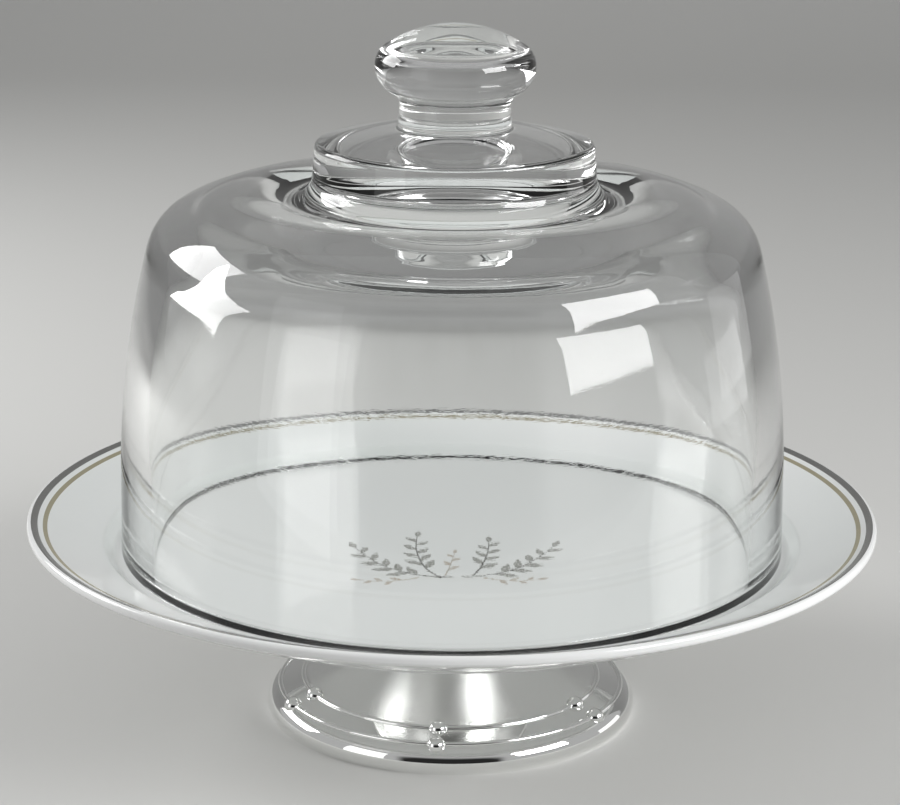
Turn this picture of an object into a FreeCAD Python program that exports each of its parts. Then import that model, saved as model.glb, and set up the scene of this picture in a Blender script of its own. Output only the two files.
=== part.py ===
import FreeCAD, Part
import math
import os
import re
import Sketcher

# A cheese plate with a glass dome: a wide porcelain plate on a silver-plated foot,
# covered by a heavy clear dome that is blown in one piece with its knob.
# Lengths are in millimetres and angles in degrees. The origin is the centre of the
# foot's base, on the table, and +Z points up through the knob.

# Driving sizes: name, value, what it measures
SIZES = [
    ("foot_radius", 59.6, "widest point of the rolled base edge"),
    ("foot_roll", 6.0, "radius of the rolled base edge"),
    ("foot_roll_height", 2.8, "height of its widest point"),
    ("foot_land", 5.2, "widest point in to the inside of the ring that stands on the table"),
    ("foot_slope", 17.0, "fall of the band between the two reeds, from level"),
    ("flare_rise", 23.0, "rise of the flare, from the inner reed to the neck"),
    ("foot_throat", 14.0, "sweep of the top of the flare into the neck"),
    ("flare_run", 27.0, "inner reed in to the neck"),
    ("neck_length", 3.1, "length of the neck's straight part"),
    ("foot_cup", 12.0, "sweep from the neck out to the top disc"),
    ("disc_land", 3.3, "width of the top disc's level underside, outside that sweep"),
    ("foot_disc_thickness", 2.0, "thickness of the top disc at its edge"),
    ("foot_wall", 1.8, "thickness of the spun metal"),
    ("foot_edge_round", 0.7, "rounding of the edges at the base and the top disc"),
    ("reed_inset", 4.4, "widest point of the base in to the outer reed"),
    ("reed_spacing", 7.5, "outer reed to the inner reed, where the flare begins"),
    ("reed_size", 0.8, "radius of a reed's own section"),
    ("bead_size", 2.95, "radius of a bead"),
    ("bead_sink", 0.5, "depth of a bead's centre under the metal's surface"),
    ("bead_turn", 4.4, "turn of the first pair of beads from the front"),
    ("bead_pairs", 6, "pairs of beads round the foot"),
    ("plate_floor", 4.8, "thickness of the plate's floor"),
    ("plate_rim_height", 17.5, "underside of the floor to the top of the rim's edge"),
    ("plate_lip", 3.5, "thickness of the rim at its edge"),
    ("plate_lip_round", 1.4, "rounding of the rim's edge"),
    ("plate_rim_sweep", 210.0, "sweep of the rim from the shoulder to the edge"),
    ("dome_play", 2.0, "room between the dome's base and the sloping wall of the well"),
    ("well_round", 2.6, "rounding between the floor and the sloping wall"),
    ("well_wall", 3.5, "width of the sloping wall of the well"),
    ("shoulder_height", 3.5, "floor to the start of the rim"),
    ("shoulder_round", 3.0, "rounding of the start of the rim"),
    ("rim_width", 23.8, "start of the rim to its edge"),
    ("plate_back_sweep", 210.0, "sweep of the underside from the foot ring to the edge"),
    ("ring_inset", 11.8, "wall of the well in to the outside of the plate's foot ring"),
    ("ring_width", 4.0, "width of the foot ring"),
    ("ring_depth", 3.6, "how far the foot ring stands below the floor"),
    ("ring_flare", 0.8, "how much wider the foot ring is at its root"),
    ("ring_rise", 2.0, "height of the foot ring's outer wall"),
    ("ring_round", 0.9, "rounding of the foot ring"),
    ("dome_radius", 105.3, "outer radius of the dome at its base"),
    ("dome_wall", 9.7, "thickness of the glass at the base"),
    ("dome_lean", 1.0, "lean of the outer wall near the base, inwards"),
    ("dome_straight", 27.7, "height of the straight part of the outer wall"),
    ("dome_swell", 298.0, "sweep of the outer wall up to the shoulder"),
    ("dome_shoulder", 19.3, "radius of the outer shoulder"),
    ("dome_crown", 86.7, "sweep of the crown"),
    ("dome_height", 116.9, "base of the dome to the level part of its crown"),
    ("hollow_lean", -1.7, "lean of the inner wall near the base, outwards as it rises"),
    ("hollow_straight", 29.2, "height of the straight part of the inner wall"),
    ("hollow_swell", 310.0, "sweep of the inner wall up to the shoulder"),
    ("hollow_shoulder", 15.0, "radius of the inner shoulder"),
    ("crown_wall", 5.0, "thickness of the glass in the crown"),
    ("base_outer_round", 1.5, "fire-polished rounding outside the base"),
    ("base_inner_round", 1.5, "fire-polished rounding inside the base"),
    ("boss_radius", 43.3, "radius of the boss at its top edge"),
    ("boss_flare", 1.4, "how much wider the boss is at its root"),
    ("boss_height", 12.6, "level crown to the top edge of the boss"),
    ("boss_rise", 5.5, "rise of the boss's domed top from its edge to the axis"),
    ("boss_root_round", 5.5, "sweep from the crown into the boss"),
    ("boss_edge_round", 2.2, "rounding of the boss's top edge"),
    ("crown_land", 0.6, "level ring of the crown outside the boss's root"),
    ("recess_wall", 7.3, "thickness of the boss's side at the top of the recess in it"),
    ("recess_flare", 5.0, "how much wider the recess is at its mouth"),
    ("recess_depth", 7.0, "ceiling of the dome up to the edge of the recess"),
    ("recess_rise", 4.0, "rise of the recess's domed top from its edge to the axis"),
    ("recess_round", 6.0, "rounding at the edge of the recess"),
    ("recess_mouth_round", 7.0, "sweep from the dome's ceiling into the recess"),
    ("stem_radius", 17.5, "radius of the ring under the neck of the knob"),
    ("stem_ring_height", 8.4, "boss's top edge to the groove over that ring"),
    ("stem_foot_round", 1.4, "rounding where the stem meets the boss"),
    ("neck_radius", 17.2, "radius of the neck of the knob"),
    ("neck_round", 3.5, "sweep from the neck out to the knob"),
    ("groove_size", 0.7, "radius of the groove between ring and neck"),
    ("knob_radius", 24.8, "widest radius of the knob"),
    ("knob_height", 36.4, "level crown to the widest part of the knob"),
    ("knob_under", 9.4, "radius of the knob's underside"),
    ("knob_side", 7.5, "radius of the knob's upper side"),
    ("knob_rise", 12.7, "widest part to the top of the knob"),
]

SIZE = {name: value for name, value, note in SIZES}
SHEET = "Sizes"

# Sizes that follow from the driving ones, each measured from its neighbour
WELL_RADIUS = "dome_radius + dome_play"
SHOULDER_RADIUS = f"{WELL_RADIUS} + well_wall"
PLATE_RADIUS = f"{SHOULDER_RADIUS} + rim_width"
RING_RADIUS = f"{WELL_RADIUS} - ring_inset"
FLOOR_TO_SHOULDER = "plate_floor + shoulder_height"
LIP_UNDERSIDE = "plate_rim_height - plate_lip"
REED_OUTER = "foot_radius - reed_inset"
REED_INNER = f"{REED_OUTER} - reed_spacing"
FOOT_NECK = f"{REED_INNER} - flare_run"
DISC_RADIUS = f"{FOOT_NECK} + foot_cup + disc_land"
FOOT_INSIDE = "foot_radius - foot_land"
ROLL_CENTRE = "foot_radius - foot_roll"
BOSS_ROOT = "boss_radius + boss_flare"
CROWN_FLAT = f"{BOSS_ROOT} + boss_root_round + crown_land"
BOSS_EDGE = "dome_height + boss_height"
STEM_RING = f"{BOSS_EDGE} + stem_ring_height"
KNOB_MIDDLE = "dome_height + knob_height"
CEILING = "dome_height - crown_wall"
RECESS_RADIUS = "boss_radius - recess_wall"
RECESS_MOUTH = f"{RECESS_RADIUS} + recess_flare"
RECESS_EDGE = f"{CEILING} + recess_depth"


def cell(formula):
    """Point every size named in a formula at its cell in the sheet."""
    return re.sub("[a-z_]+", lambda word: f"{SHEET}.{word[0]}" if word[0] in SIZE else word[0],
                  formula)


def value(formula):
    """Work the same formula out as a number, for the first drawing of a sketch."""
    total = 0.0
    sign = 1.0
    for word in formula.split():
        if word in "+-":
            sign = 1.0 if word == "+" else -1.0
        else:
            total += sign * (SIZE[word] if word in SIZE else float(word))
    return total


def meeting(centre_a, radius_a, centre_b, radius_b, side):
    """The point at radius_a from centre_a and radius_b from centre_b, on one side."""
    (ax, ay), (bx, by) = centre_a, centre_b
    gap = math.hypot(bx - ax, by - ay)
    along = (radius_a ** 2 - radius_b ** 2 + gap ** 2) / (2 * gap)
    off = math.sqrt(radius_a ** 2 - along ** 2) * side
    ux, uy = (bx - ax) / gap, (by - ay) / gap
    return ax + along * ux - off * uy, ay + along * uy + off * ux


def beyond(start, centre, distance):
    """The point at a distance from centre, on the line from start through centre."""
    reach = math.hypot(centre[0] - start[0], centre[1] - start[1])
    return tuple(c + (c - s) * distance / reach for s, c in zip(start, centre))


class Outline:
    """A closed run of lines and arcs in a sketch on the body's XZ plane."""

    def __init__(self, body, name, start):
        self.sketch = body.newObject("Sketcher::SketchObject", name)
        plane = next(f for f in body.Origin.OriginFeatures if f.Role == "XZ_Plane")
        self.sketch.AttachmentSupport = [(plane, "")]
        self.sketch.MapMode = "FlatFace"
        self.start = start
        self.here = start
        self.runs = []

    def line(self, end):
        """Draw a straight run to a point, joined to the run before it."""
        self._add(Part.LineSegment(self._vector(self.here), self._vector(end)), 1, 2, end)
        return self

    def arc(self, centre, end, left=True):
        """Draw an arc about a centre to a point, turning left or right."""
        first, last = (self.here, end) if left else (end, self.here)
        angles = [math.atan2(p[1] - centre[1], p[0] - centre[0]) for p in (first, last)]
        radius = math.hypot(end[0] - centre[0], end[1] - centre[1])
        circle = Part.Circle(self._vector(centre), FreeCAD.Vector(0, 0, 1), radius)
        head, tail = (1, 2) if left else (2, 1)
        self._add(Part.ArcOfCircle(circle, *angles), head, tail, end)
        return self

    def circle(self, centre, radius):
        """Draw a whole circle that stands by itself."""
        shape = Part.Circle(self._vector(centre), FreeCAD.Vector(0, 0, 1), radius)
        self._add(shape, 0, 0, centre)
        return self

    def close(self, smooth=()):
        """Join each run to the next, tangent at the numbered joints."""
        count = len(self.runs)
        for index, (run, _, tail) in enumerate(self.runs):
            following, head, _ = self.runs[(index + 1) % count]
            kind = "Tangent" if index in smooth else "Coincident"
            self._constrain(kind, run, tail, following, head)
        return self

    def place(self, joint, across=None, up=None):
        """Fix where a run ends: its distance from the axis and its height."""
        run, _, tail = self.runs[joint]
        self._place(run, tail, across, up)
        return self

    def centre(self, run, across=None, up=None):
        """Fix where an arc has its centre."""
        self._place(self.runs[run][0], 3, across, up)
        return self

    def radius(self, run, formula):
        """Fix an arc's or a circle's radius."""
        index = self.runs[run][0]
        self._measure(formula, "Radius", index, self.sketch.Geometry[index].Radius)
        return self

    def angle(self, run, formula):
        """Fix the angle of a straight run from level."""
        run = self.runs[run][0]
        drawn = self.sketch.Geometry[run]
        across, up = drawn.EndPoint.x - drawn.StartPoint.x, drawn.EndPoint.y - drawn.StartPoint.y
        index = self._constrain("Angle", run, math.atan2(up, across))
        self.sketch.setExpression(f"Constraints[{index}]", f"({cell(formula)}) * 1 deg")
        return self

    def upright(self, *runs):
        """Keep straight runs parallel to the axis."""
        for run in runs:
            self._constrain("Vertical", self.runs[run][0])
        return self

    def level(self, *runs):
        """Keep straight runs at right angles to the axis."""
        for run in runs:
            self._constrain("Horizontal", self.runs[run][0])
        return self

    def _vector(self, point):
        return FreeCAD.Vector(point[0], point[1], 0)

    def _add(self, shape, head, tail, end):
        index = self.sketch.addGeometry(shape, False)
        self.runs.append((index, head, tail))
        self.here = end

    def _constrain(self, *parts):
        return self.sketch.addConstraint(Sketcher.Constraint(*parts))

    def _measure(self, formula, *parts):
        index = self._constrain(*parts)
        self.sketch.setExpression(f"Constraints[{index}]", cell(formula))

    def _place(self, run, spot, across, up):
        drawn = self.sketch.getPoint(run, spot)
        if across == "0":
            self._constrain("PointOnObject", run, spot, -2)
        elif across is not None:
            self._measure(across, "DistanceX", -1, 1, run, spot, drawn.x)
        if up == "0":
            self._constrain("PointOnObject", run, spot, -1)
        elif up is not None:
            self._measure(up, "DistanceY", -1, 1, run, spot, drawn.y)


def turned(body, outline, name, kind="PartDesign::Revolution"):
    """Turn an outline once round the body's axis, to add or to cut."""
    feature = body.newObject(kind, name)
    feature.Profile = outline.sketch
    feature.ReferenceAxis = (outline.sketch, ["V_Axis"])
    feature.Angle = 360.0
    outline.sketch.Visibility = False
    body.Document.recompute()
    return feature


def rounded(body, name, radius, *spots):
    """Round the circular edges that pass through the given spots of the section."""
    base = body.Tip
    edges = []
    for index, edge in enumerate(base.Shape.Edges):
        if edge.Degenerated or not isinstance(edge.Curve, Part.Circle):
            continue
        found = edge.Curve.Radius, edge.Curve.Center.z
        if any(math.dist(found, spot) < 0.02 for spot in spots):
            edges.append(f"Edge{index + 1}")
    feature = body.newObject("PartDesign::Fillet", name)
    feature.Base = (base, edges)
    feature.Radius = SIZE[radius]
    feature.setExpression("Radius", cell(radius))
    body.Document.recompute()
    return feature


def bell(body, name, base, lean, straight, swell, shoulder, crown, top):
    """Draw a bell: a leaning wall, a swelling sweep, a shoulder and a level crown."""
    slant = math.radians(value(lean))
    foot = value(base), 0.0
    wall = foot[0] - value(straight) * math.tan(slant), value(straight)
    crest = value(CROWN_FLAT), value(top)
    swell_radius, shoulder_radius, crown_radius = value(swell), value(shoulder), value(crown)
    swell_centre = (wall[0] - swell_radius * math.cos(slant),
                    wall[1] - swell_radius * math.sin(slant))
    crown_centre = crest[0], crest[1] - crown_radius
    shoulder_centre = meeting(swell_centre, swell_radius - shoulder_radius,
                              crown_centre, crown_radius - shoulder_radius, 1)
    low = beyond(swell_centre, shoulder_centre, shoulder_radius)
    high = beyond(crown_centre, shoulder_centre, shoulder_radius)
    outline = Outline(body, name, (0.0, 0.0))
    outline.line(foot).line(wall)
    outline.arc(swell_centre, low).arc(shoulder_centre, high).arc(crown_centre, crest)
    outline.line((0.0, crest[1])).line((0.0, 0.0))
    outline.close(smooth=(1, 2, 3, 4))
    outline.place(6, "0", "0").place(0, base, "0").place(1, up=straight)
    outline.angle(1, f"90 + {lean}")
    outline.radius(2, swell).radius(3, shoulder).radius(4, crown)
    outline.place(4, CROWN_FLAT, top).place(5, "0").level(5)
    return outline


def make_dome(doc):
    """The glass dome: bell, boss and knob in one piece, hollow from below."""
    body = doc.addObject("PartDesign::Body", "glass_dome")
    body.Label = "glass_dome"
    outside = bell(body, "bell_section", "dome_radius", "dome_lean", "dome_straight",
                   "dome_swell", "dome_shoulder", "dome_crown", "dome_height")
    turned(body, outside, "bell")

    root, crown = value(BOSS_ROOT), SIZE["dome_height"]
    rise, reach, edge = SIZE["boss_rise"], SIZE["boss_radius"], value(BOSS_EDGE)
    top_height = edge + rise
    sweep = (reach ** 2 + rise ** 2) / (2 * rise)
    boss = Outline(body, "boss_section", (0.0, crown))
    boss.line((root, crown)).line((reach, edge))
    boss.arc((0.0, top_height - sweep), (0.0, top_height)).line((0.0, crown)).close()
    boss.place(0, BOSS_ROOT, "dome_height").place(1, "boss_radius", BOSS_EDGE)
    boss.place(2, "0", f"{BOSS_EDGE} + boss_rise").centre(2, "0").place(3, "0", "dome_height")
    turned(body, boss, "boss")
    rounded(body, "boss_root", "boss_root_round", (root, crown))
    rounded(body, "boss_edge", "boss_edge_round", (reach, edge))

    make_knob(body)
    stem = SIZE["stem_radius"]
    stem_base = top_height - sweep + math.sqrt(sweep ** 2 - stem ** 2)
    rounded(body, "stem_foot", "stem_foot_round", (stem, stem_base))

    inner = "dome_radius - dome_wall"
    inside = bell(body, "hollow_section", inner, "hollow_lean", "hollow_straight",
                  "hollow_swell", "hollow_shoulder", "dome_crown - crown_wall", CEILING)
    turned(body, inside, "hollow", "PartDesign::Groove")
    make_recess(body)
    rounded(body, "base_outside", "base_outer_round", (SIZE["dome_radius"], 0.0))
    rounded(body, "base_inside", "base_inner_round", (value(inner), 0.0))
    body.setExpression("Placement.Base.z", cell(f"{foot_height()[1]} + plate_floor"))
    return body


def make_recess(body):
    """The shallow recess that the dome's ceiling has under the boss."""
    ceiling, edge = value(CEILING), value(RECESS_EDGE)
    mouth, reach = value(RECESS_MOUTH), value(RECESS_RADIUS)
    rise = SIZE["recess_rise"]
    sweep = (reach ** 2 + rise ** 2) / (2 * rise)
    recess = Outline(body, "recess_section", (0.0, ceiling))
    recess.line((mouth, ceiling)).line((reach, edge))
    recess.arc((0.0, edge + rise - sweep), (0.0, edge + rise)).line((0.0, ceiling)).close()
    recess.place(0, RECESS_MOUTH, CEILING).place(1, RECESS_RADIUS, RECESS_EDGE)
    recess.place(2, "0", f"{RECESS_EDGE} + recess_rise").centre(2, "0").place(3, "0", CEILING)
    turned(body, recess, "recess", "PartDesign::Groove")
    rounded(body, "recess_edge", "recess_round", (reach, edge))
    rounded(body, "recess_mouth", "recess_mouth_round", (mouth, ceiling))


def make_knob(body):
    """The solid knob on its ringed stem, standing on the boss."""
    widest = value(KNOB_MIDDLE)
    knob, neck, stem = SIZE["knob_radius"], SIZE["neck_radius"], SIZE["stem_radius"]
    under, side, sweep = SIZE["knob_under"], SIZE["knob_side"], SIZE["neck_round"]
    low, ring = value(BOSS_EDGE), value(STEM_RING)
    apex = widest + SIZE["knob_rise"]
    under_centre, side_centre = (knob - under, widest), (knob - side, widest)
    across = neck + sweep - under_centre[0]
    drop = math.sqrt((under + sweep) ** 2 - across ** 2)
    sweep_centre = neck + sweep, widest - drop
    waist = beyond(sweep_centre, under_centre, -(under))
    rise = SIZE["knob_rise"]
    top = (side_centre[0] ** 2 + rise ** 2 - side ** 2) / (2 * (rise - side))
    top_centre = 0.0, apex - top
    brow = beyond(top_centre, side_centre, side)
    outline = Outline(body, "knob_section", (0.0, low))
    outline.line((stem, low)).line((stem, ring)).line((neck, ring))
    outline.line((neck, sweep_centre[1]))
    outline.arc(sweep_centre, waist, left=False)
    outline.arc(under_centre, (knob, widest))
    outline.arc(side_centre, brow)
    outline.arc(top_centre, (0.0, apex))
    outline.line((0.0, low))
    outline.close(smooth=(3, 4, 6))
    outline.place(0, "stem_radius", BOSS_EDGE).place(1, "stem_radius", STEM_RING)
    outline.place(2, "neck_radius", STEM_RING).upright(3).radius(4, "neck_round")
    outline.radius(5, "knob_under").centre(5, up=KNOB_MIDDLE)
    outline.place(5, "knob_radius", KNOB_MIDDLE)
    outline.radius(6, "knob_side").centre(6, up=KNOB_MIDDLE)
    outline.centre(7, "0").place(7, "0", f"{KNOB_MIDDLE} + knob_rise")
    outline.place(8, "0", BOSS_EDGE)
    turned(body, outline, "knob")

    groove = Outline(body, "groove_section", (0.0, 0.0))
    groove.circle((stem, ring), SIZE["groove_size"]).radius(0, "groove_size")
    groove.centre(0, "stem_radius", STEM_RING)
    turned(body, groove, "groove", "PartDesign::Groove")


def make_plate(doc):
    """The porcelain plate: flat well, sloping rim, rounded edge and foot ring."""
    body = doc.addObject("PartDesign::Body", "plate")
    body.Label = "plate"
    floor, edge = SIZE["plate_floor"], (value(PLATE_RADIUS), SIZE["plate_rim_height"])
    shoulder = value(SHOULDER_RADIUS), value(FLOOR_TO_SHOULDER)
    well = value(WELL_RADIUS), floor
    lip = edge[0], value(LIP_UNDERSIDE)
    ring_inner, ring_outer = value(f"{RING_RADIUS} - ring_width"), value(RING_RADIUS)
    ring_foot = -SIZE["ring_depth"]
    root = value(f"{RING_RADIUS} + ring_flare"), value("ring_rise - ring_depth")
    sweep, back = SIZE["plate_rim_sweep"], SIZE["plate_back_sweep"]
    section = Outline(body, "plate_section", (0.0, 0.0))
    section.line((ring_inner, 0.0)).line((ring_inner, ring_foot))
    section.line((ring_outer, ring_foot)).line(root)
    section.arc(meeting(root, back, lip, back, 1), lip).line(edge)
    section.arc(meeting(shoulder, sweep, edge, sweep, 1), shoulder, left=False)
    section.line(well).line((0.0, floor)).line((0.0, 0.0)).close()
    section.place(9, "0", "0").place(0, f"{RING_RADIUS} - ring_width", "0")
    section.place(1, f"{RING_RADIUS} - ring_width", "0 - ring_depth")
    section.place(2, RING_RADIUS, "0 - ring_depth")
    section.place(3, f"{RING_RADIUS} + ring_flare", "ring_rise - ring_depth")
    section.place(4, PLATE_RADIUS, LIP_UNDERSIDE).radius(4, "plate_back_sweep")
    section.place(5, PLATE_RADIUS, "plate_rim_height")
    section.place(6, SHOULDER_RADIUS, FLOOR_TO_SHOULDER).radius(6, "plate_rim_sweep")
    section.place(7, WELL_RADIUS, "plate_floor").place(8, "0", "plate_floor")
    turned(body, section, "plate_body")
    rounded(body, "lip", "plate_lip_round", lip, edge)
    rounded(body, "shoulder", "shoulder_round", shoulder)
    rounded(body, "well", "well_round", well)
    rounded(body, "ring", "ring_round", (ring_inner, ring_foot), (ring_outer, ring_foot),
            root, (ring_inner, 0.0))
    body.setExpression("Placement.Base.z", cell(foot_height()[1]))
    return body


def band_height(reed):
    """Height of the sloping band at a reed, as a number and as a formula."""
    slope = math.radians(SIZE["foot_slope"])
    number = (SIZE["foot_roll_height"] + SIZE["foot_roll"] / math.cos(slope)
              - (value(reed) - value(ROLL_CENTRE)) * math.tan(slope))
    formula = ("foot_roll_height + foot_roll / cos(foot_slope * 1deg) "
               f"- ({reed} - ({ROLL_CENTRE})) * tan(foot_slope * 1deg)")
    return number, formula


def foot_height(less=""):
    """Height of the foot's top disc, or of the centre of the sweep under it."""
    number, formula = band_height(REED_INNER)
    rise = "flare_rise + neck_length"
    if not less:
        rise += " + foot_cup + foot_disc_thickness"
    return number + value(rise), f"{formula} + {rise}"


def trumpet(body, name, depth=""):
    """Draw the foot's section, or the hollow that lies a depth under its surface."""
    deep = SIZE[depth] if depth else 0.0
    less, more = (f" - {depth}", f" + {depth}") if depth else ("", "")
    slope = math.radians(SIZE["foot_slope"])
    across, up = math.sin(slope), math.cos(slope)
    band, band_formula = band_height(REED_INNER)
    cup_height, cup_formula = foot_height(less="cup")
    height, height_formula = foot_height()
    bend = value(REED_INNER) - across * deep, band - up * deep
    throat = value(f"{FOOT_NECK} + foot_throat"), band + SIZE["flare_rise"]
    throat_radius, neck = value(f"foot_throat{more}"), value(f"{FOOT_NECK}{less}")

    # The flare's radius follows, so that it meets both the band and the throat smoothly
    gap = bend[0] - throat[0], bend[1] - throat[1]
    ahead = across * gap[0] + up * gap[1]
    radius = (throat_radius ** 2 - gap[0] ** 2 - gap[1] ** 2) / (2 * (ahead + throat_radius))
    flare = bend[0] + across * radius, bend[1] + up * radius
    turn = beyond(flare, throat, throat_radius)
    cup, cup_radius = (value(f"{FOOT_NECK} + foot_cup"), cup_height), value(f"foot_cup{more}")
    top, disc = height - deep, value(DISC_RADIUS)
    section = Outline(body, name, (0.0, 0.0))
    if depth:
        inner = value(FOOT_INSIDE)
        section.line((inner, 0.0))
        section.line((inner, bend[1] - (inner - bend[0]) * math.tan(slope)))
    else:
        roll, size = (value(ROLL_CENTRE), SIZE["foot_roll_height"]), SIZE["foot_roll"]
        section.line((roll[0] + math.sqrt(size ** 2 - roll[1] ** 2), 0.0))
        section.arc(roll, (roll[0] + across * size, roll[1] + up * size))
    section.line(bend).arc(flare, turn, left=False)
    section.arc(throat, (neck, throat[1]), left=False).line((neck, cup[1]))
    if depth:
        rim = math.sqrt(cup_radius ** 2 - (top - cup[1]) ** 2)
        section.arc(cup, (cup[0] - rim, top), left=False)
    else:
        section.arc(cup, (cup[0], cup[1] + cup_radius), left=False)
        section.line((disc, cup[1] + cup_radius)).line((disc, top))
    section.line((0.0, top)).line((0.0, 0.0))
    if depth:
        section.close(smooth=(2, 3, 4, 5)).place(0, FOOT_INSIDE, "0").upright(1)
        section.place(2, f"{REED_INNER} - sin(foot_slope * 1deg) * {depth}",
                      f"{band_formula} - cos(foot_slope * 1deg) * {depth}")
        section.place(6, up=f"{height_formula} - {depth}").level(7)
        section.place(7, "0").place(8, "0", "0")
    else:
        section.close(smooth=(1, 2, 3, 4, 5, 6)).place(0, up="0").radius(1, "foot_roll")
        section.centre(1, ROLL_CENTRE, "foot_roll_height").place(2, REED_INNER)
        section.level(7).upright(8).place(8, DISC_RADIUS, height_formula)
        section.level(9).place(9, "0").place(10, "0", "0")
    section.angle(2, "180 - foot_slope").upright(5).place(5, f"{FOOT_NECK}{less}")
    section.radius(4, f"foot_throat{more}").centre(4, up=f"{band_formula} + flare_rise")
    section.centre(6, f"{FOOT_NECK} + foot_cup", cup_formula)
    return section


def make_pedestal(doc):
    """The spun metal foot: rolled base, two reeds tied with beads, flaring neck."""
    body = doc.addObject("PartDesign::Body", "pedestal")
    body.Label = "pedestal"
    turned(body, trumpet(body, "foot_section"), "foot_body")
    height, disc = foot_height()[0], value(DISC_RADIUS)
    rounded(body, "disc_edge", "foot_edge_round", (disc, height),
            (disc, height - SIZE["foot_disc_thickness"]))

    # Two reeds lie half sunk in the metal, at the two ends of the sloping band
    reeds = Outline(body, "reed_section", (0.0, 0.0))
    for index, reed in enumerate((REED_OUTER, REED_INNER)):
        number, formula = band_height(reed)
        reeds.circle((value(reed), number), SIZE["reed_size"]).radius(index, "reed_size")
        reeds.centre(index, reed, formula)
    turned(body, reeds, "reeds")

    # A pair of beads sits across the reeds, and is repeated round the foot
    datum = {part.Role: part for part in body.Origin.OriginFeatures}
    beads = []
    for name, reed in (("bead_outer", REED_OUTER), ("bead_inner", REED_INNER)):
        bead = body.newObject("PartDesign::AdditiveSphere", name)
        bead.AttachmentSupport = [(datum["XY_Plane"], "")]
        bead.MapMode = "FlatFace"
        bead.setExpression("Radius", cell("bead_size"))
        for axis, turn in (("x", "sin"), ("y", "cos")):
            bead.setExpression(f"AttachmentOffset.Base.{axis}",
                               cell(f"0 - ({reed}) * {turn}(bead_turn * 1deg)"))
        bead.setExpression("AttachmentOffset.Base.z", cell(f"{band_height(reed)[1]} - bead_sink"))
        doc.recompute()
        beads.append(bead)
    ties = body.newObject("PartDesign::PolarPattern", "bead_ties")
    ties.Originals = beads
    ties.Axis = (datum["Z_Axis"], [""])
    ties.Angle = 360.0
    ties.setExpression("Occurrences", cell("bead_pairs"))
    body.Tip = ties
    doc.recompute()

    # The underside is hollow and keeps one thickness of metal up into the neck
    hollow = trumpet(body, "foot_hollow_section", "foot_wall")
    turned(body, hollow, "foot_hollow", "PartDesign::Groove")
    rounded(body, "base_edge", "foot_edge_round", (value(FOOT_INSIDE), 0.0))
    return body


doc = FreeCAD.newDocument("cheese_plate")
sheet = doc.addObject("Spreadsheet::Sheet", SHEET)
for row, (name, number, note) in enumerate(SIZES, start=1):
    sheet.set(f"A{row}", name)
    sheet.set(f"B{row}", str(number))
    sheet.set(f"C{row}", note)
    sheet.setAlias(f"B{row}", name)
doc.recompute()

pieces = [make_pedestal(doc), make_plate(doc), make_dome(doc)]
doc.recompute()
for item in doc.Objects:
    if {"Invalid", "Error"} & set(item.State):
        raise RuntimeError(f"{item.Name}: {item.getStatusString()}")
    if item.TypeId == "Sketcher::SketchObject" and not item.FullyConstrained:
        raise RuntimeError(f"{item.Name} is not fully constrained")
for piece in pieces:
    shape = piece.Shape
    if shape.isNull() or not shape.isValid() or len(shape.Solids) != 1:
        raise RuntimeError(f"{piece.Label} is not one sound solid")

# Each cut is checked by its volume, because a cut that misses shows no error
for name in ("foot_hollow", "hollow", "recess", "groove"):
    cut = doc.getObject(name)
    if cut.Shape.Volume >= cut.BaseFeature.Shape.Volume - 1.0:
        raise RuntimeError(f"{name} cuts nothing")

os.makedirs("parts", exist_ok=True)
for piece in pieces:
    piece.Shape.exportStep(f"parts/{piece.Label}.step")
    box = piece.Shape.optimalBoundingBox()
    print(f"{piece.Label}: {piece.Shape.Volume / 1000:.1f} cm3, radius {box.XMax:.2f}, "
          f"z {box.ZMin:.2f} to {box.ZMax:.2f}")
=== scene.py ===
"""A cheese plate with a glass dome: a footed porcelain plate under a clear cloche."""

import logging
import math
from dataclasses import dataclass, field
from enum import Enum
from typing import Any, Sequence

import bmesh
import bpy
from mathutils import Matrix, Vector


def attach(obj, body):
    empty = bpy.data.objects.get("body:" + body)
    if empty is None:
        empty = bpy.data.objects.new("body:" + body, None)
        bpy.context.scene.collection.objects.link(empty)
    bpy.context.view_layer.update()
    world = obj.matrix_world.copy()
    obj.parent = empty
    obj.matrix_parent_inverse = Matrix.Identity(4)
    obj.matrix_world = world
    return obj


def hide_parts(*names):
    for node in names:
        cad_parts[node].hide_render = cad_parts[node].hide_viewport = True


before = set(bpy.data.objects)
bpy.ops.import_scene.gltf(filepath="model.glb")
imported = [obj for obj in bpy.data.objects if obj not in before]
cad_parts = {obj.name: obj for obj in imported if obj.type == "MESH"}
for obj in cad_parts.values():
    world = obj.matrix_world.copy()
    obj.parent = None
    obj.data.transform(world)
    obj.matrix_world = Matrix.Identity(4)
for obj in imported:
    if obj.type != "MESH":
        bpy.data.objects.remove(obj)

MM = 0.001
STEPS_ROUND = 192
LOG = logging.getLogger("cheese_plate")

Point = tuple[float, float]
Colour = tuple[float, float, float]


class Slot(Enum):
    """The finishes that the record names."""

    GLASS = "clear_glass"
    PORCELAIN = "porcelain"
    SILVER = "silver_plate"


class Turn(Enum):
    """Which way an arc of a section bends, seen with the axis at the left."""

    LEFT = 1
    RIGHT = -1


def between(start: Point, end: Point, share: float) -> Point:
    """Return the point at a share of the way from start to end."""
    return start[0] + (end[0] - start[0]) * share, start[1] + (end[1] - start[1]) * share


def beyond(start: Point, centre: Point, distance: float) -> Point:
    """Return the point at a distance from centre, on the line from start through it."""
    reach = math.dist(start, centre)
    return between(centre, (2 * centre[0] - start[0], 2 * centre[1] - start[1]), distance / reach)


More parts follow.
